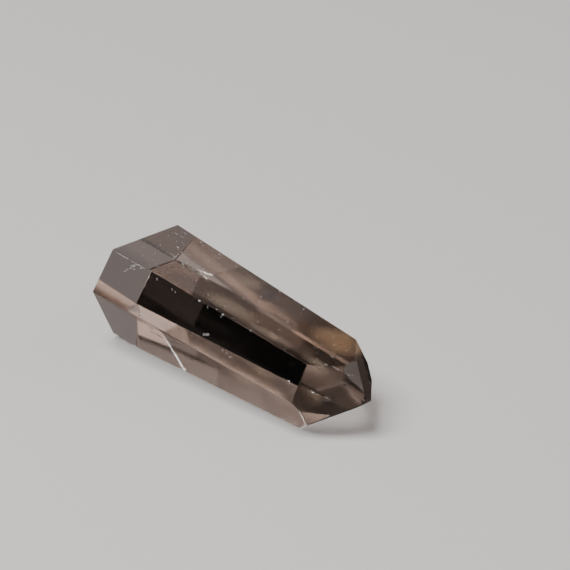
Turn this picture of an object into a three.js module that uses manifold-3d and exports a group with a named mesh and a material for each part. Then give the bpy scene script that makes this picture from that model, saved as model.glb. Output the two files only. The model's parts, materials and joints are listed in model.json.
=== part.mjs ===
// A dow quartz crystal: one clear, faintly smoky quartz point, polished all over, with a flat
// ground base at its broken end, lying on one of its six long faces.
//
// Frame: millimetres, +Z up. +X runs from the ground base to the tip. The origin is under the
// middle of the crystal, on the surface that it lies on.

import * as THREE from 'three';
import Module from 'manifold-3d';
import { mergeVertices } from 'three/addons/utils/BufferGeometryUtils.js';

// ---------------------------------------------------------------------------------------------
// Driving dimensions
// ---------------------------------------------------------------------------------------------

// The heart is a point inside the crystal, half way along it. Every face is given from there:
//   turn   degrees round the long axis, from straight up (0) over the near side (-Y, 90)
//   lean   degrees that the face looks towards the tip (90 would be straight along +X)
//   reach  mm from the heart to the face, square to it
const HEART_HEIGHT = 8.65;

// Quartz has six long faces, a sixth of a turn apart. They narrow slightly towards the tip.
const LONG_FACES = [
  { name: 'top', turn: -0.8, lean: 6.5, reach: 6.1 },
  { name: 'upper near', turn: 59.1, lean: 5.0, reach: 9.0 },
  { name: 'lower near', turn: 118.1, lean: 0.0, reach: 9.65 },
  { name: 'underside', turn: 180.0, lean: 0.0, reach: HEART_HEIGHT },
  { name: 'lower far', turn: 239.5, lean: 1.5, reach: 9.45 },
  { name: 'upper far', turn: 297.3, lean: 3.7, reach: 9.05 },
];

// The tip has one face over each long face, near quartz's own 38.2 degrees. Three are large and
// meet at the very tip, where each has seven sides. The three between them are triangles.
// That pattern of seven and three is what makes a dow crystal.
const SEVEN_SIDED_FACES = [
  { name: 'near', turn: 58.9, lean: 41.2, reach: 19.3 },
  { name: 'far', turn: 297.5, lean: 39.7, reach: 18.3 },
  { name: 'lower', turn: 178.4, lean: 34.1, reach: 18.3 },
];
const TRIANGLE_FACES = [
  { name: 'top', turn: -3.1, lean: 39.7, reach: 18.35 },
  { name: 'near', turn: 120.4, lean: 36.2, reach: 21.05 },
  { name: 'far', turn: 236.2, lean: 38.8, reach: 20.5 },
];

// The base is ground flat, a little out of square with the long axis.
const BASE_FACE = { name: 'base', turn: 16.2, lean: -84.6, reach: 28.9 };

// Two small flats: a worn corner at the foot of the base, and a nick where the top face, the
// near seven-sided face and the top triangle meet.
const SMALL_FLATS = [
  { name: 'worn foot', turn: 174.3, lean: -5.8, reach: 11.5 },
  { name: 'shoulder nick', turn: 8.5, lean: 30.0, reach: 15.35 },
];

// The rough block that the faces are cut from is larger than the finished crystal all round.
const BLANK_LENGTH = 80;
const BLANK_WIDTH = 40;

// ---------------------------------------------------------------------------------------------
// Material: clear quartz with a faint smoky tint
// ---------------------------------------------------------------------------------------------

const quartz = new THREE.MeshStandardMaterial({
  name: 'quartz',
  color: 0xb9aca0,
  roughness: 0.05,
  metalness: 0.0,
  transparent: true,
  opacity: 0.5,
});

// ---------------------------------------------------------------------------------------------
// Solids
// ---------------------------------------------------------------------------------------------

const solids = await Module();
solids.setup();

// A closed three.js geometry as a solid that can be cut.
function toSolid(geometry) {
  const bare = geometry.clone();
  bare.deleteAttribute('normal');
  bare.deleteAttribute('uv');
  const merged = mergeVertices(bare);
  return new solids.Manifold(new solids.Mesh({
    numProp: 3,
    vertProperties: new Float32Array(merged.attributes.position.array),
    triVerts: new Uint32Array(merged.index.array),
  }));
}

// A cut solid as a three.js geometry.
function toGeometry(solid) {
  const mesh = solid.getMesh();
  const geometry = new THREE.BufferGeometry();
  geometry.setAttribute('position', new THREE.BufferAttribute(mesh.vertProperties, mesh.numProp));
  geometry.setIndex(new THREE.BufferAttribute(mesh.triVerts, 1));
  return geometry;
}

// The direction that a face looks in.
function outward({ turn, lean }) {
  const around = THREE.MathUtils.degToRad(turn);
  const along = THREE.MathUtils.degToRad(lean);
  return new THREE.Vector3(
    Math.sin(along),
    -Math.cos(along) * Math.sin(around),
    Math.cos(along) * Math.cos(around),
  );
}

// The block of waste outside one face: its inner side lies in the plane of the face.
function wasteOutside(face) {
  const waste = new THREE.BoxGeometry(2 * BLANK_LENGTH, 2 * BLANK_LENGTH, BLANK_LENGTH);
  waste.translate(0, 0, face.reach + BLANK_LENGTH / 2);
  const straightUp = new THREE.Vector3(0, 0, 1);
  waste.applyQuaternion(new THREE.Quaternion().setFromUnitVectors(straightUp, outward(face)));
  return toSolid(waste);
}

// The crystal: a blank with the waste outside each face taken off, as a cutter would grind it.
function crystalGeometry() {
  const faces = [
    ...LONG_FACES,
    ...SEVEN_SIDED_FACES,
    ...TRIANGLE_FACES,
    BASE_FACE,
    ...SMALL_FLATS,
  ];
  let crystal = toSolid(new THREE.BoxGeometry(BLANK_LENGTH, BLANK_WIDTH, BLANK_WIDTH));
  for (const face of faces) {
    crystal = crystal.subtract(wasteOutside(face));
  }
  return toGeometry(crystal);
}

// ---------------------------------------------------------------------------------------------
// The part
// ---------------------------------------------------------------------------------------------

const geometry = crystalGeometry();
geometry.computeBoundingBox();
const middle = geometry.boundingBox.getCenter(new THREE.Vector3());
geometry.translate(-middle.x, -middle.y, HEART_HEIGHT);
geometry.computeVertexNormals();

const crystal = new THREE.Mesh(geometry, quartz);
crystal.name = 'crystal';

const part = new THREE.Group();
part.add(crystal);

export default part;
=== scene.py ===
# %% [markdown]
# # A dow quartz crystal
#
# A dow crystal is a quartz point whose tip has large seven-sided faces alternating with small
# triangles. This one is clear with a faint smoky tint. It was cut flat at its broken end, all its
# faces were polished, and it lies on one long face.
#
# A clear stone has hardly a look of its own. What we see in it is its own far edges, bent by the
# quartz, and the light around it. So this lesson puts its effort into three things: exact faces
# with slightly worn edges, the small faults inside, and what there is around the stone to be seen
# through it.

# %% Load the frame
import json
import math
import random

import bpy
from mathutils import Matrix, Vector

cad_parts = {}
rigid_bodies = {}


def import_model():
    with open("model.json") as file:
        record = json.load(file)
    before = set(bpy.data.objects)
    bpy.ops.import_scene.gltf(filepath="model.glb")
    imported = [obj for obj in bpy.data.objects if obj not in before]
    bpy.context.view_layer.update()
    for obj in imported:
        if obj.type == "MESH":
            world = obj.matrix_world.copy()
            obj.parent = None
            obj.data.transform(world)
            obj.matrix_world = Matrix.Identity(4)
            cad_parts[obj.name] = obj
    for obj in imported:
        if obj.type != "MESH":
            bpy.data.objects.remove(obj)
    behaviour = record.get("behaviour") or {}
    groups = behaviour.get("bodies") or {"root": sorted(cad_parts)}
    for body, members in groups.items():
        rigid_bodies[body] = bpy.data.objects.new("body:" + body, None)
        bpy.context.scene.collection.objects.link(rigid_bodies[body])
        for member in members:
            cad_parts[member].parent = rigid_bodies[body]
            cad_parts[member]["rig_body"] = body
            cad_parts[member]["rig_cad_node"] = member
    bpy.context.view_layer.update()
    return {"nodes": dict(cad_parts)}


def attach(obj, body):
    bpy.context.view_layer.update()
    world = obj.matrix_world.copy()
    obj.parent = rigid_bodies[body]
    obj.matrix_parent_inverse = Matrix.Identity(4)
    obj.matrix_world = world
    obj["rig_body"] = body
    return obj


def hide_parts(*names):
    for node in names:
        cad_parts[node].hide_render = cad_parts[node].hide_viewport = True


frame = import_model()
cad_crystal = frame["nodes"]["crystal"]

# %% [markdown]
# ## Small helpers
#
# Everything in Blender is in metres, and a crystal of this size is easier to think about in
# millimetres. A value times `MM` is a length in metres.
#
# Operators act on whatever is selected, so each step starts with nothing selected.

# %% Helpers
MM = 0.001


def select_only(obj):
    """Makes obj the one selected object, and the active one."""
    bpy.ops.object.select_all(action="DESELECT")
    obj.select_set(True)
    bpy.context.view_layer.objects.active = obj


def in_edit_mode(obj, kind="VERT"):
    """Opens obj in edit mode with nothing selected."""
    select_only(obj)
    bpy.ops.object.mode_set(mode="EDIT")
    bpy.ops.mesh.select_mode(type=kind)
    bpy.ops.mesh.select_all(action="DESELECT")


def back_to_objects():
    bpy.ops.object.mode_set(mode="OBJECT")


def new_material(name):
    """A node material, its shader, and its node tree."""
    material = bpy.data.materials.new(name)
    material.use_nodes = True
    tree = material.node_tree
    return material, tree.nodes["Principled BSDF"], tree


def heading(bearing, height):
    """A direction: bearing in degrees from +Y towards +X, height in degrees above level."""
    b = math.radians(bearing)
    h = math.radians(height)
    return Vector((math.sin(b) * math.cos(h), math.cos(b) * math.cos(h), math.sin(h)))


print("one millimetre is", MM, "m; bearing 90 points along", [round(v) for v in heading(90, 0)])

# %% [markdown]
# ## The camera
#
# The camera looks down on the crystal's near side from in front of its tip, from far enough away,
# through a long lens, that parallel edges stay nearly parallel.

# %% Camera
VIEW_BEARING = -48.44
VIEW_HEIGHT = 24.6
CAMERA_DISTANCE = 937 * MM
AIM = Vector((-25.97 * MM, 30.65 * MM, 0.0))
SENSOR_WIDTH = 36.0
LENS = 327.65
NEAREST_SEEN = 0.01
FARTHEST_SEEN = 50.0

looking_along = heading(VIEW_BEARING, -VIEW_HEIGHT)
camera_data = bpy.data.cameras.new("camera")
camera = bpy.data.objects.new("camera", camera_data)
bpy.context.scene.collection.objects.link(camera)
camera.location = AIM - looking_along * CAMERA_DISTANCE
camera.rotation_mode = "QUATERNION"
camera.rotation_quaternion = looking_along.to_track_quat("-Z", "Y")
camera_data.sensor_width = SENSOR_WIDTH
camera_data.lens = LENS
camera_data.clip_start = NEAREST_SEEN
camera_data.clip_end = FARTHEST_SEEN
bpy.context.scene.camera = camera
print("camera at", [round(v, 3) for v in camera.location])

# %% [markdown]
# ### Enough bounces
#
# Light that enters a clear stone is mirrored inside it many times before it leaves. With Blender's
# usual few bounces those paths end in black, so this scene allows more of them.

# %% Bounces
MIRROR_BOUNCES = 40
ALL_BOUNCES = 48
FILM_CROSSINGS = 32

bpy.context.scene.cycles.glossy_bounces = MIRROR_BOUNCES
bpy.context.scene.cycles.transmission_bounces = MIRROR_BOUNCES
bpy.context.scene.cycles.max_bounces = ALL_BOUNCES
bpy.context.scene.cycles.transparent_max_bounces = FILM_CROSSINGS
print("light may bounce", bpy.context.scene.cycles.max_bounces, "times")

# %% [markdown]
# ## The floor
#
# The floor is a plain pale sheet. A clear stone would be filled with it from side to side, and
# its facets would hardly show. So the floor is hidden from rays that have passed through the
# stone or been mirrored by it. Those rays go on to the soft studio around, which is given below.

# %% Floor
FLOOR_SIZE = 2.4
FLOOR_DROP = 0.02 * MM
FLOOR_COLOUR = (0.80, 0.79, 0.775, 1.0)
FLOOR_ROUGHNESS = 0.9
FLOOR_SHINE = 0.1

bpy.ops.object.select_all(action="DESELECT")
bpy.ops.mesh.primitive_plane_add(size=FLOOR_SIZE, location=(0, 0, -FLOOR_DROP))
floor = bpy.context.object
floor.name = "floor"
floor.visible_transmission = False
floor.visible_glossy = False
floor_material, floor_shader, floor_tree = new_material("pale_floor")
floor_shader.inputs["Base Color"].default_value = FLOOR_COLOUR
floor_shader.inputs["Roughness"].default_value = FLOOR_ROUGHNESS
floor_shader.inputs["Specular IOR Level"].default_value = FLOOR_SHINE
floor.data.materials.append(floor_material)
print("floor", FLOOR_SIZE, "m wide")

# %% [markdown]
# ## The light
#
# The stone is lit by a soft studio on all sides. It is made in the world shader as round soft
# cards: each is a patch of light on the sky, brightest in its middle and fading out at its rim.
#
# Through each face of a crystal only a few small parts of the studio are seen, some of them after
# many mirrorings. So the studio isn't lit evenly. It has a few wide cards with dark gaps between
# them: a face that looks into a card is bright, and one that looks into a gap stays dark.
#
# The camera itself doesn't see the cards. It sees a plain pale background.

# %% Studio world
DARK = (0.002, 0.002, 0.002)
BACKGROUND = (0.93, 0.925, 0.915)
WARM = (1.32, 1.0, 0.88)
PALE = (1.15, 1.0, 0.97)
COOL = (1.0, 1.0, 1.1)
CARDS = [
    # bearing, height and radius in degrees, brightness, tint
    # a wide window on the side of the tip with a bright part, and a wall across from it
    (70, 30, 50, 0.4, PALE),
    (30, 35, 20, 1.2, PALE),
    (-80, 25, 35, 0.6, WARM),
    # the lit table top, brightest in front of the tip
    (140, -15, 40, 0.9, WARM),
    (-110, -15, 25, 0.3, WARM),
    # a small lamp behind the stone
    (-30, 5, 25, 0.4, WARM),
    # the table under the stone
    (-20, -80, 22, 0.7, PALE),
    (60, -50, 45, 0.2, PALE),
]

world = bpy.data.worlds.new("studio")
bpy.context.scene.world = world
world.use_nodes = True
sky = world.node_tree
sky_shader = sky.nodes["Background"]
sky_direction = sky.nodes.new("ShaderNodeTexCoord").outputs["Generated"]


def card_light(bearing, height, radius, brightness, tint):
    """The light of one soft card, as a colour socket."""
    towards = sky.nodes.new("ShaderNodeVectorMath")
    towards.operation = "DOT_PRODUCT"
    towards.inputs[1].default_value = heading(bearing, height)
    sky.links.new(sky_direction, towards.inputs[0])
    fade = sky.nodes.new("ShaderNodeMapRange")
    fade.interpolation_type = "SMOOTHSTEP"
    fade.inputs["From Min"].default_value = math.cos(math.radians(radius))
    fade.inputs["From Max"].default_value = 1.0
    sky.links.new(towards.outputs["Value"], fade.inputs["Value"])
    tinted = sky.nodes.new("ShaderNodeVectorMath")
    tinted.operation = "SCALE"
    tinted.inputs[0].default_value = Vector(tint) * brightness
    sky.links.new(fade.outputs["Result"], tinted.inputs["Scale"])
    return tinted.outputs["Vector"]


total = None
for card in CARDS:
    light = card_light(*card)
    adder = sky.nodes.new("ShaderNodeVectorMath")
    adder.operation = "ADD"
    if total is None:
        adder.inputs[0].default_value = DARK
    else:
        sky.links.new(total, adder.inputs[0])
    sky.links.new(light, adder.inputs[1])
    total = adder.outputs["Vector"]

seen_directly = sky.nodes.new("ShaderNodeLightPath").outputs["Is Camera Ray"]
choice = sky.nodes.new("ShaderNodeMix")
choice.data_type = "RGBA"
choice.inputs["B"].default_value = (*BACKGROUND, 1.0)
sky.links.new(seen_directly, choice.inputs["Factor"])
sky.links.new(total, choice.inputs["A"])
sky.links.new(choice.outputs["Result"], sky_shader.inputs["Color"])
print("studio of", len(CARDS), "cards")

# %% [markdown]
# ### The lamp
#
# A big soft lamp behind the camera lights the floor and gives the crystal its shadow.

# %% Lamp
LAMP_SIZE = 0.7
LAMP_DISTANCE = 1.0
LAMP_POWER = 12.0
LAMP_BEARING = -168
LAMP_HEIGHT = 65

lamp_data = bpy.data.lights.new("lamp", "AREA")
lamp_data.shape = "SQUARE"
lamp_data.size = LAMP_SIZE
lamp_data.energy = LAMP_POWER
lamp = bpy.data.objects.new("lamp", lamp_data)
bpy.context.scene.collection.objects.link(lamp)
lamp_side = heading(LAMP_BEARING, LAMP_HEIGHT)
lamp.location = lamp_side * LAMP_DISTANCE
lamp.rotation_mode = "QUATERNION"
lamp.rotation_quaternion = lamp_side.to_track_quat("Z", "Y")
print("lamp at", [round(v, 2) for v in lamp.location])

# %% [markdown]
# ## The crystal
#
# The CAD model already has the faces where they belong, so the piece starts as a copy of it. The
# copy comes as loose triangles: its doubled corners are merged, and flat triangles are joined
# into whole faces.
#
# The frame's own mesh stays as it is. All the work below is done on the copy.

# %% Crystal body
MERGE_WITHIN = 0.001 * MM
FLAT_WITHIN = math.radians(0.4)

crystal = cad_crystal.copy()
crystal.data = cad_crystal.data.copy()
crystal.name = "quartz_point"
bpy.context.scene.collection.objects.link(crystal)
crystal.parent = None
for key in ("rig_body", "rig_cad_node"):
    if key in crystal:
        del crystal[key]

select_only(crystal)
bpy.ops.mesh.customdata_custom_splitnormals_clear()
bpy.ops.object.shade_flat()
in_edit_mode(crystal)
bpy.ops.mesh.select_all(action="SELECT")
bpy.ops.mesh.remove_doubles(threshold=MERGE_WITHIN)
bpy.ops.mesh.dissolve_limited(angle_limit=FLAT_WITHIN)
back_to_objects()
print("whole faces:", len(crystal.data.polygons))

# %% [markdown]
# ## The rim of the base
#
# The ground base would chip along its sharp rim. So each edge of the rim was touched to the wheel
# by hand, which leaves a narrow flat facet, seldom the same width at both ends. A bisect with its
# cut filled is the same act: one plane that takes a corner off.
#
# These small facets matter more than their size says. The far ones show through the stone as dark
# and bright lines that run right across its faces.

# %% Rim facets
RIM = {
    # direction of the long face round the stone: the facet's tilt from the base, both in degrees,
    # and its depth in mm at the rim's near end and at its far end
    90: (45, 0.18, 0.02),
    150: (45, 0.07, 0.07),
    -150: (45, 0.07, 0.07),
    -90: (42, 0.14, 0.14),
    -30: (78, 0.10, 0.10),
    30: (45, 0.07, 0.07),
}


def turn_round(normal):
    """Direction of a long face round the stone: 90 degrees is up, -180 is the near side."""
    return math.degrees(math.atan2(normal.z, normal.y))


base_face = min(crystal.data.polygons, key=lambda face: face.normal.x)
rim_cuts = []
for face in crystal.data.polygons:
    shared = set(face.edge_keys) & set(base_face.edge_keys)
    if face == base_face or not shared:
        continue
    corners = sorted((crystal.data.vertices[i].co.copy() for i in shared.pop()), key=lambda co: co.y)
    angle = min(RIM, key=lambda a: abs((turn_round(face.normal) - a + 180) % 360 - 180))
    tilt, *depths = RIM[angle]
    sideways = (face.normal - base_face.normal * face.normal.dot(base_face.normal)).normalized()
    outward = base_face.normal * math.cos(math.radians(tilt)) + sideways * math.sin(math.radians(tilt))
    near, far = [co - outward * depth * MM for co, depth in zip(corners, depths)]
    rim = (far - near).normalized()
    rim_cuts.append((near, (outward - rim * outward.dot(rim)).normalized()))

in_edit_mode(crystal)
for place, outward in rim_cuts:
    bpy.ops.mesh.select_all(action="SELECT")
    bpy.ops.mesh.bisect(plane_co=place, plane_no=outward, clear_outer=True, use_fill=True)
back_to_objects()
print("faces with rim facets:", len(crystal.data.polygons))

# %% [markdown]
# ### Worn edges
#
# No real edge is perfectly sharp. Polishing and handling leave a fine rounding on each. A narrow
# bevel gives every edge its thin line of light.

# %% Worn edges
EDGE_WEAR = 0.045 * MM
EDGE_STEPS = 2
SHARP_ABOVE = math.radians(12)
ROUND = 0.5

in_edit_mode(crystal, "EDGE")
bpy.ops.mesh.edges_select_sharp(sharpness=SHARP_ABOVE)
bpy.ops.mesh.bevel(offset=EDGE_WEAR, segments=EDGE_STEPS, profile=ROUND, affect="EDGES")
back_to_objects()
print("faces with worn edges:", len(crystal.data.polygons))

# %% [markdown]
# ## Shards
#
# Quartz breaks like glass, in small shells. One helper makes them all: a ball is flattened into
# a lens, broken off across one end, and roughened. As a cutter it knocks a chip out of an edge.
# As a piece of its own it is a bruise, a small crack that hasn't come loose and shines white.

# %% Shard
BALL_RADIUS = 0.5 * MM
BREAK_AT = 0.28  # parts of the length, from the middle
BREAK_SLANT = 0.4
ROUGHENED = 0.16  # parts of the width


def frame_of(along, facing):
    """The turn that lays local X along one direction, with local Z facing another."""
    x = Vector(along).normalized()
    z = Vector(facing)
    z = (z - x * z.dot(x)).normalized()
    y = z.cross(x)
    return Matrix((x, y, z)).transposed().to_euler()


def shard(name, at, along, facing, size, seed):
    """A broken lens. at and size (length, width, thickness) are in millimetres."""
    length, width, thickness = size
    middle = Vector(at) * MM
    bpy.ops.object.select_all(action="DESELECT")
    bpy.ops.mesh.primitive_ico_sphere_add(
        subdivisions=2,
        radius=BALL_RADIUS,
        location=middle,
        rotation=frame_of(along, facing),
        scale=(length, width, thickness),
    )
    piece = bpy.context.object
    piece.name = name
    bpy.ops.object.transform_apply(location=True, rotation=True, scale=True)
    in_edit_mode(piece)
    bpy.ops.mesh.select_all(action="SELECT")
    bpy.ops.mesh.bisect(
        plane_co=middle + Vector(along).normalized() * BREAK_AT * length * MM,
        plane_no=Vector(along).normalized() + Vector(facing).normalized() * BREAK_SLANT,
        clear_outer=True,
        use_fill=True,
    )
    bpy.ops.mesh.select_all(action="SELECT")
    bpy.ops.transform.vertex_random(offset=ROUGHENED * width * MM, seed=seed)
    back_to_objects()
    return piece


def joined(pieces, name):
    """The pieces as one object."""
    select_only(pieces[0])
    for piece in pieces:
        piece.select_set(True)
    bpy.ops.object.join()
    bpy.context.object.name = name
    return bpy.context.object


print("a shard is broken off at", 0.5 + BREAK_AT, "of its length")

# %% [markdown]
# ## Chips
#
# Along its sharp edges the crystal has lost a few splinters, each well under a millimetre. They
# are cut out of the body with one boolean. The list gives where each one is and which way it
# faces out of the stone. One more sits on the rim of the base.

# %% Chips in the edges
ALONG = (1.0, 0.0, -0.1)
CHIPS = [
    # place, facing, size in mm
    ((-21.4, 6.9, 17.25), (0.0, 0.5, 0.8), (0.9, 0.35, 0.30)),
    ((-16.0, 6.8, 16.65), (0.0, 0.5, 0.8), (1.3, 0.45, 0.35)),
    ((-0.4, 7.0, 14.85), (0.0, 0.5, 0.8), (0.8, 0.35, 0.30)),
    ((-5.8, -7.1, 15.60), (0.0, -0.6, 0.8), (0.7, 0.40, 0.30)),
    ((0.4, -6.7, 14.95), (0.0, -0.6, 0.8), (0.8, 0.40, 0.30)),
    ((7.1, -6.4, 14.15), (0.0, -0.6, 0.8), (0.6, 0.30, 0.25)),
    ((-0.5, -10.75, 7.85), (0.0, -1.0, 0.0), (0.7, 0.50, 0.40)),
    ((4.3, -10.1, 9.1), (0.0, -1.0, 0.4), (0.8, 0.35, 0.30)),
    ((9.9, 5.6, 0.0), (0.0, 0.7, -0.7), (0.9, 0.35, 0.30)),
    ((14.0, 5.6, 0.0), (0.0, 0.7, -0.7), (1.3, 0.40, 0.30)),
]
BASE_RIM = (0.1, 0.9, 0.3)
BASE_CHIP = ((-29.7, 8.4, 3.0), (-0.7, 0.6, -0.4), (0.9, 0.50, 0.45))
BASE_CHIP_SEED = 40

chips = []
for number, (at, facing, size) in enumerate(CHIPS):
    chips.append(shard("chip", at, ALONG, facing, size, number))
at, facing, size = BASE_CHIP
chips.append(shard("chip", at, BASE_RIM, facing, size, BASE_CHIP_SEED))
cutter = joined(chips, "chips")
knock_out = crystal.modifiers.new("chips", "BOOLEAN")
knock_out.operation = "DIFFERENCE"
knock_out.solver = "MANIFOLD"
knock_out.object = cutter
select_only(crystal)
bpy.ops.object.modifier_apply(modifier="chips")
bpy.data.objects.remove(cutter)
print("faces with chips:", len(crystal.data.polygons))

# %% [markdown]
# ## Quartz
#
# Quartz bends light by an index of about 1.55. Its faint smoky brown comes from deep in the stone,
# so it's made by absorption in the volume: the longer the light's way, the browner it comes out.
# The polish isn't perfect either. A little roughness and a very low ripple soften what is seen
# through the faces.

# %% Quartz
QUARTZ_INDEX = 1.5475
CLEAR = (1.0, 1.0, 1.0, 1.0)
POLISH_ROUGHNESS = 0.055
SMOKE_COLOUR = (0.60, 0.44, 0.30, 1.0)
SMOKE_DENSITY = 10.0
RIPPLE_SCALE = 140.0
RIPPLE_DETAIL = 2.0
RIPPLE_HEIGHT = 0.006 * MM

quartz, quartz_shader, quartz_tree = new_material("quartz")
quartz_shader.inputs["Base Color"].default_value = CLEAR
quartz_shader.inputs["Transmission Weight"].default_value = 1.0
quartz_shader.inputs["IOR"].default_value = QUARTZ_INDEX
quartz_shader.inputs["Roughness"].default_value = POLISH_ROUGHNESS
smoke = quartz_tree.nodes.new("ShaderNodeVolumeAbsorption")
smoke.inputs["Color"].default_value = SMOKE_COLOUR
smoke.inputs["Density"].default_value = SMOKE_DENSITY
quartz_out = quartz_tree.nodes["Material Output"]
quartz_tree.links.new(smoke.outputs["Volume"], quartz_out.inputs["Volume"])
place = quartz_tree.nodes.new("ShaderNodeTexCoord").outputs["Object"]
ripple = quartz_tree.nodes.new("ShaderNodeTexNoise")
ripple.inputs["Scale"].default_value = RIPPLE_SCALE
ripple.inputs["Detail"].default_value = RIPPLE_DETAIL
quartz_tree.links.new(place, ripple.inputs["Vector"])
waves = quartz_tree.nodes.new("ShaderNodeBump")
waves.inputs["Strength"].default_value = 1.0
waves.inputs["Distance"].default_value = RIPPLE_HEIGHT
quartz_tree.links.new(ripple.outputs["Fac"], waves.inputs["Height"])
quartz_tree.links.new(waves.outputs["Normal"], quartz_shader.inputs["Normal"])
crystal.data.materials.clear()
crystal.data.materials.append(quartz)
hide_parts("crystal")
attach(crystal, "root")
print(crystal.name, "is of quartz, index", QUARTZ_INDEX)

# %% [markdown]
# ## Bruises and small cracks
#
# A crack in a clear stone is a film of air. It mirrors light like snow does, so it's made as a
# white, slightly glossy shell just under the surface, and it needs no glass of its own. A fine
# grain breaks the white up, because a crack is never closed evenly.
#
# `stroke` lays a shard between two places, which is how the longer ones are drawn. The same white
# also paints a highlight line along one edge, among the bruises below.

# %% Crack and highlight white
CRACK_ROUGHNESS = 0.45
GRAIN_SCALE = 2500.0
GRAIN_DETAIL = 3.0
GREY_UP_TO = 0.35
WHITE_FROM = 0.65
CRACK_GREY = (0.42, 0.40, 0.38, 1.0)
CRACK_BRIGHT = (0.92, 0.92, 0.93, 1.0)
FILM_THICKNESS = 0.05

crack_and_highlight_white, white_shader, white_tree = new_material("crack_and_highlight_white")
white_shader.inputs["Roughness"].default_value = CRACK_ROUGHNESS
white_shader.inputs["IOR"].default_value = QUARTZ_INDEX
place = white_tree.nodes.new("ShaderNodeTexCoord").outputs["Object"]
grain = white_tree.nodes.new("ShaderNodeTexNoise")
grain.inputs["Scale"].default_value = GRAIN_SCALE
grain.inputs["Detail"].default_value = GRAIN_DETAIL
white_tree.links.new(place, grain.inputs["Vector"])
shade = white_tree.nodes.new("ShaderNodeValToRGB")
shade.color_ramp.elements[0].position = GREY_UP_TO
shade.color_ramp.elements[0].color = CRACK_GREY
shade.color_ramp.elements[1].position = WHITE_FROM
shade.color_ramp.elements[1].color = CRACK_BRIGHT
white_tree.links.new(grain.outputs["Fac"], shade.inputs["Fac"])
white_tree.links.new(shade.outputs["Color"], white_shader.inputs["Base Color"])


def stroke(name, start, end, facing, width, seed):
    """A slender shard from start to end, all in millimetres."""
    along = Vector(end) - Vector(start)
    middle = (Vector(start) + Vector(end)) / 2
    return shard(name, middle, along, facing, (along.length, width, FILM_THICKNESS), seed)


def finish_cracks_and_highlights(pieces, name):
    """Joins the cracks of one place, with any painted highlight strokes, and gives them their white
    and their body.
    """
    cracks = joined(pieces, name)
    cracks.data.materials.clear()
    cracks.data.materials.append(crack_and_highlight_white)
    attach(cracks, "root")
    print(name, "has", len(cracks.data.polygons), "faces")


print("crack white is made of", len(white_tree.nodes), "nodes")

# %% [markdown]
# ### Bruises, and a painted highlight
#
# They sit where the stone has knocked against others, so nearly all are on its edges. Two long
# thin white strokes along the near top edge beside the base are a painted highlight: the pale line
# of light along that edge.

# %% Bruises and a painted highlight along the edges
TOP_EDGE = (1.0, 0.054, -0.112)
BRUISES_AND_HIGHLIGHTS = [
    # place, along, facing, size in mm
    ((-21.3, 6.75, 17.00), ALONG, (0.0, 0.2, 1.0), (0.45, 0.16, 0.05)),
    ((-16.2, 6.60, 16.42), ALONG, (0.0, 0.2, 1.0), (0.50, 0.18, 0.05)),
    ((-15.6, 6.55, 16.36), ALONG, (0.0, 0.2, 1.0), (0.35, 0.15, 0.05)),
    ((-0.5, 6.80, 14.66), ALONG, (0.0, 0.2, 1.0), (0.50, 0.16, 0.05)),
    ((-5.7, -7.03, 15.38), ALONG, (0.0, -0.6, 0.8), (0.55, 0.28, 0.05)),
    ((-3.5, -7.05, 14.90), (0.6, -0.5, -0.6), (0.0, -0.8, 0.5), (0.70, 0.20, 0.05)),
    ((0.2, -6.75, 14.70), ALONG, (0.0, -0.6, 0.8), (0.55, 0.28, 0.05)),
    ((0.0, -7.00, 14.35), (0.4, -0.6, -0.6), (0.0, -0.8, 0.5), (0.60, 0.16, 0.05)),
    ((7.0, -6.35, 13.90), ALONG, (0.0, -0.6, 0.8), (0.35, 0.20, 0.05)),
    ((-16.3, -7.55, 16.00), (0.5, 0.0, -0.8), (0.0, -0.8, 0.5), (0.55, 0.20, 0.05)),
    ((-12.3, -7.55, 15.40), (0.8, -0.4, -0.5), (0.0, -0.8, 0.5), (0.75, 0.20, 0.05)),
    ((-11.4, -7.55, 15.20), (0.7, -0.5, -0.6), (0.0, -0.8, 0.5), (0.60, 0.18, 0.05)),
    ((-1.35, -9.02, 11.10), (1.0, 0.15, 0.35), (0.0, -0.8, 0.5), (1.35, 0.42, 0.06)),
    ((-2.10, -9.10, 10.85), (0.2, -0.5, -0.9), (0.0, -0.8, 0.5), (0.60, 0.30, 0.06)),
    ((3.1, -9.40, 9.85), ALONG, (0.0, -0.8, 0.5), (0.45, 0.16, 0.05)),
    ((4.2, -9.40, 9.65), ALONG, (0.0, -0.8, 0.5), (0.40, 0.20, 0.05)),
    ((5.5, -9.44, 9.35), ALONG, (0.0, -0.8, 0.5), (0.45, 0.16, 0.05)),
    ((-1.2, 3.10, 14.10), ALONG, (0.5, -0.4, 0.8), (0.25, 0.22, 0.06)),
    ((29.2, -0.45, 6.95), (0.3, 0.3, -0.8), (0.7, -0.6, 0.4), (0.50, 0.20, 0.05)),
    ((9.9, 5.25, 0.25), ALONG, (0.5, -0.6, 0.6), (0.45, 0.12, 0.05)),
    ((13.8, 5.25, 0.30), ALONG, (0.5, -0.6, 0.6), (1.30, 0.10, 0.05)),
    ((24.5, -2.40, 11.70), (0.8, 0.4, -0.35), (0.4, -0.4, 0.8), (1.90, 0.22, 0.05)),
    ((22.9, -3.30, 12.20), (0.8, 0.4, -0.35), (0.2, -0.4, 0.8), (0.80, 0.16, 0.05)),
    # painted highlight: two thin white strokes that stand for the line of light along the near top
    # edge
    ((-25.0, -8.10, 17.69), TOP_EDGE, (0.1, -0.5, 0.86), (5.00, 0.06, 0.03)),
    ((-20.7, -7.86, 17.20), TOP_EDGE, (0.1, -0.5, 0.86), (4.50, 0.05, 0.03)),
]
BRUISE_SEED = 100

bruises_and_highlights = []
for number, (at, along, facing, size) in enumerate(BRUISES_AND_HIGHLIGHTS):
    bruises_and_highlights.append(shard("bruise", at, along, facing, size, BRUISE_SEED + number))
finish_cracks_and_highlights(bruises_and_highlights, "edge_bruises_and_highlights")

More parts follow.
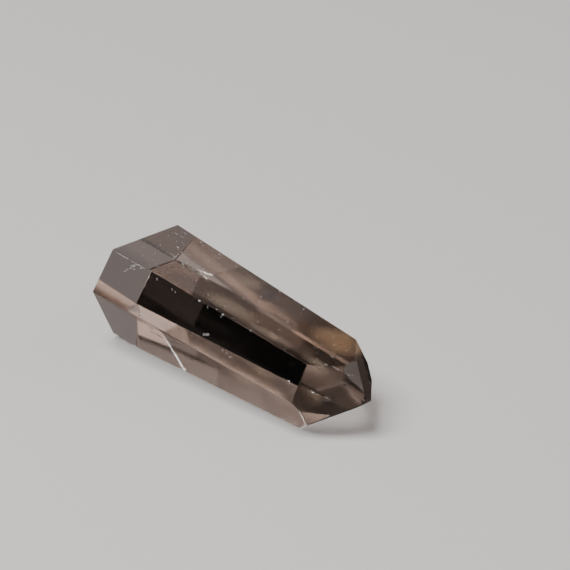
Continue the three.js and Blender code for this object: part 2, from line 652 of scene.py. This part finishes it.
# %% [markdown]
# ### Flakes
#
# The far corner of the base took a harder knock. A handful of flakes lie under the top face there,
# each drawn with `stroke` from one end to the other.

# %% Flakes at the far corner
UP = (0.1, 0.0, 1.0)
FLAKES = [
    # start, end, width in mm
    ((-27.1, 5.15, 17.55), (-25.3, 5.25, 17.35), 0.26),
    ((-25.4, 5.30, 17.35), (-23.9, 5.55, 17.15), 0.22),
    ((-25.9, 6.65, 17.45), (-24.2, 6.60, 17.25), 0.18),
    ((-22.9, 2.40, 17.10), (-21.7, 2.20, 16.95), 0.24),
    ((-23.4, 3.90, 17.10), (-22.6, 4.00, 17.00), 0.12),
    ((-20.8, 1.50, 16.90), (-20.3, 1.60, 16.85), 0.26),
    ((-27.0, 4.70, 17.55), (-26.6, 4.80, 17.50), 0.26),
]
FLAKE_SEED = 200

flakes = []
for number, (start, end, width) in enumerate(FLAKES):
    flakes.append(stroke("flake", start, end, UP, width, FLAKE_SEED + number))
finish_cracks_and_highlights(flakes, "corner_flakes")

# %% [markdown]
# ### The feather
#
# A crack that branches as it runs is called a feather. This one starts on the near face beside the
# base, and its barbs fan out towards the top edge.

# %% Feather fracture
NEAR_UP = (0.0, -0.85, 0.5)
FEATHER = [
    # start, end, width in mm
    ((-23.85, -8.80, 15.25), (-23.00, -8.30, 15.90), 0.28),
    ((-23.10, -8.38, 15.80), (-21.70, -7.55, 16.95), 0.22),
    ((-22.90, -8.02, 16.32), (-21.60, -7.30, 17.15), 0.24),
    ((-23.15, -8.04, 16.35), (-22.45, -7.80, 16.65), 0.10),
    ((-22.50, -8.05, 16.25), (-21.80, -7.70, 16.70), 0.12),
    ((-23.70, -8.50, 15.75), (-23.00, -8.25, 16.05), 0.08),
    ((-20.85, -7.60, 16.72), (-20.15, -7.60, 16.62), 0.26),
    ((-22.60, -8.25, 15.95), (-21.30, -7.60, 16.35), 0.16),
    ((-22.40, -7.70, 16.80), (-20.70, -7.25, 17.00), 0.16),
]
BARB_SEED = 20

feather = []
for number, (start, end, width) in enumerate(FEATHER):
    feather.append(stroke("barb", start, end, NEAR_UP, width, BARB_SEED + number))
finish_cracks_and_highlights(feather, "feather_fracture")

# %% [markdown]
# ## Pinpricks
#
# A worn polish has tiny pits all over, each no more than a white point. One is modelled, as a ball
# pressed flat, and copied to places drawn at random. The more a face looks up, the more of them it
# gets, because that is where it was wiped and touched. The draw is seeded, so the pits come out
# the same each time.

# %% Pinpricks
PINPRICKS = 200
PIT_DEPTH = 0.05
SMALLEST_PIT = 0.08
LARGEST_PIT = 0.36
FEW_LARGE = 3
PIT_SHAPE = (1.0, 0.7, 0.3)
PIT_ROUGHNESS = 0.1 * MM
LOWEST_FACING = -0.5
WEAKEST_FACING = 0.2
CROWDING = 3

draw = random.Random(11)
bpy.ops.object.select_all(action="DESELECT")
bpy.ops.mesh.primitive_ico_sphere_add(subdivisions=1, radius=BALL_RADIUS)
pit = bpy.context.object
pit.name = "pit"
in_edit_mode(pit)
bpy.ops.mesh.select_all(action="SELECT")
bpy.ops.transform.resize(value=PIT_SHAPE)
bpy.ops.transform.vertex_random(offset=PIT_ROUGHNESS, seed=3)
back_to_objects()

triangles = [face for face in cad_crystal.data.polygons if face.normal.z > LOWEST_FACING]
shares = [face.area * max(face.normal.z, WEAKEST_FACING) ** CROWDING for face in triangles]
pits = []
for number in range(PINPRICKS):
    face = draw.choices(triangles, shares)[0]
    corner, second, third = [cad_crystal.data.vertices[i].co for i in face.vertices]
    across, along = sorted((draw.random(), draw.random()))
    spot = corner * across + second * (along - across) + third * (1.0 - along)
    copy = pit.copy()
    copy.data = pit.data.copy()
    bpy.context.scene.collection.objects.link(copy)
    copy.location = spot - face.normal * PIT_DEPTH * MM
    copy.rotation_euler = face.normal.to_track_quat("Z", "X").to_euler()
    pit_size = SMALLEST_PIT + (LARGEST_PIT - SMALLEST_PIT) * draw.random() ** FEW_LARGE
    copy.scale = [pit_size] * 3
    select_only(copy)
    bpy.ops.object.transform_apply(location=True, rotation=True, scale=True)
    pits.append(copy)
bpy.data.objects.remove(pit)
finish_cracks_and_highlights(pits, "pinpricks")

# %% [markdown]
# ## Veils
#
# Deeper in, the stone holds a few healed cracks. They are hardly there: thin clouded sheets that
# fade out at their rims. Each one is a small grid, bowed by pulling its middle with proportional
# editing, and roughened a little. Its alpha is a soft disc on its own UV map, broken up by noise.
#
# One of them has an iron stain, which glows orange near the tip. Two more are no cracks but painted
# shade: dark bluish films that darken what is seen through the stone near the base.

# %% Veil materials
VEIL_ROUGHNESS = 0.8
VEIL_SHINE = 0.2
SHEET_MIDDLE = (0.5, 0.5, 0.0)
RIM_OF_DISC = 0.5
FULL_WITHIN = 0.1
CLOUD_SCALE = 160.0
CLOUD_DETAIL = 1.0


def veil_material(name, colour, thickest):
    """A clouded film. thickest is how much it hides in its middle."""
    material, shader, tree = new_material(name)
    shader.inputs["Base Color"].default_value = (*colour, 1.0)
    shader.inputs["Roughness"].default_value = VEIL_ROUGHNESS
    shader.inputs["Specular IOR Level"].default_value = VEIL_SHINE
    spots = tree.nodes.new("ShaderNodeTexCoord")
    centred = tree.nodes.new("ShaderNodeVectorMath")
    centred.operation = "DISTANCE"
    centred.inputs[1].default_value = SHEET_MIDDLE
    tree.links.new(spots.outputs["UV"], centred.inputs[0])
    disc = tree.nodes.new("ShaderNodeMapRange")
    disc.interpolation_type = "SMOOTHSTEP"
    disc.inputs["From Min"].default_value = RIM_OF_DISC
    disc.inputs["From Max"].default_value = FULL_WITHIN
    disc.inputs["To Max"].default_value = thickest
    tree.links.new(centred.outputs["Value"], disc.inputs["Value"])
    clouds = tree.nodes.new("ShaderNodeTexNoise")
    clouds.inputs["Scale"].default_value = CLOUD_SCALE
    clouds.inputs["Detail"].default_value = CLOUD_DETAIL
    tree.links.new(spots.outputs["Object"], clouds.inputs["Vector"])
    patchy = tree.nodes.new("ShaderNodeMath")
    patchy.operation = "MULTIPLY"
    tree.links.new(disc.outputs["Result"], patchy.inputs[0])
    tree.links.new(clouds.outputs["Fac"], patchy.inputs[1])
    tree.links.new(patchy.outputs["Value"], shader.inputs["Alpha"])
    return material


iron_stain = veil_material("iron_stain", (1.0, 0.62, 0.32), 0.75)
warm_veil = veil_material("warm_veil", (0.92, 0.72, 0.54), 0.6)
# painted shade: a dark bluish film that darkens what is seen through it
painted_shade_veil = veil_material("painted_shade_veil", (0.10, 0.13, 0.18), 0.4)
print("veil materials:", iron_stain.name, warm_veil.name, painted_shade_veil.name)

# %% [markdown]
# ### The sheets
#
# The stained sheet lies under the top face near the tip, the pale ones under the edge between the
# top face and the near face, and the two dark bluish sheets of painted shade nearer the base.

# %% Veils
WITH_TOP = (1.0, 0.05, -0.12)
VEILS = [
    # name, place, length and width, bow in mm, material
    ("stained_veil", (17.2, 4.0, 12.0), (13.0, 9.0), 0.4, iron_stain),
    ("near_veil", (-1.5, -3.7, 14.3), (17.0, 4.6), 0.3, warm_veil),
    ("long_veil", (10.0, -4.4, 13.0), (15.0, 2.6), 0.3, warm_veil),
    ("tip_veil", (20.9, -4.0, 11.8), (8.0, 2.6), 0.2, warm_veil),
    ("cloud_veil", (-7.5, 4.5, 14.9), (11.0, 5.0), 0.3, warm_veil),
    # painted shade: two dark bluish films that darken the view through the stone
    ("base_painted_shade", (-13.5, -4.7, 15.7), (15.0, 5.0), 0.3, painted_shade_veil),
    ("middle_painted_shade", (-0.5, 4.5, 14.1), (7.0, 5.0), 0.3, painted_shade_veil),
]
STEPS_ALONG = 14
STEPS_ACROSS = 10
BOW_REACH = 0.5  # parts of the length
SHEET_ROUGHNESS = 0.01 * MM
VEIL_SEED = 400

for number, (name, at, (length, width), bow, material) in enumerate(VEILS):
    bpy.ops.object.select_all(action="DESELECT")
    bpy.ops.mesh.primitive_grid_add(
        x_subdivisions=STEPS_ALONG,
        y_subdivisions=STEPS_ACROSS,
        size=1.0 * MM,
        location=Vector(at) * MM,
        rotation=frame_of(WITH_TOP, UP),
    )
    sheet = bpy.context.object
    sheet.name = name
    sheet.scale = (length, width, 1.0)
    bpy.ops.object.transform_apply(location=True, rotation=True, scale=True)
    middle = min(sheet.data.vertices, key=lambda v: (v.co - Vector(at) * MM).length).index
    in_edit_mode(sheet)
    back_to_objects()
    sheet.data.vertices[middle].select = True
    bpy.ops.object.mode_set(mode="EDIT")
    bpy.ops.transform.translate(
        value=Vector(UP).normalized() * bow * MM,
        use_proportional_edit=True,
        proportional_edit_falloff="SMOOTH",
        proportional_size=BOW_REACH * length * MM,
    )
    bpy.ops.mesh.select_all(action="SELECT")
    bpy.ops.transform.vertex_random(offset=SHEET_ROUGHNESS, seed=VEIL_SEED + number)
    back_to_objects()
    bpy.ops.object.shade_smooth()
    sheet.data.materials.append(material)
    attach(sheet, "root")
    print(name, "bowed to", [round(1000 * v, 2) for v in sheet.data.vertices[middle].co])
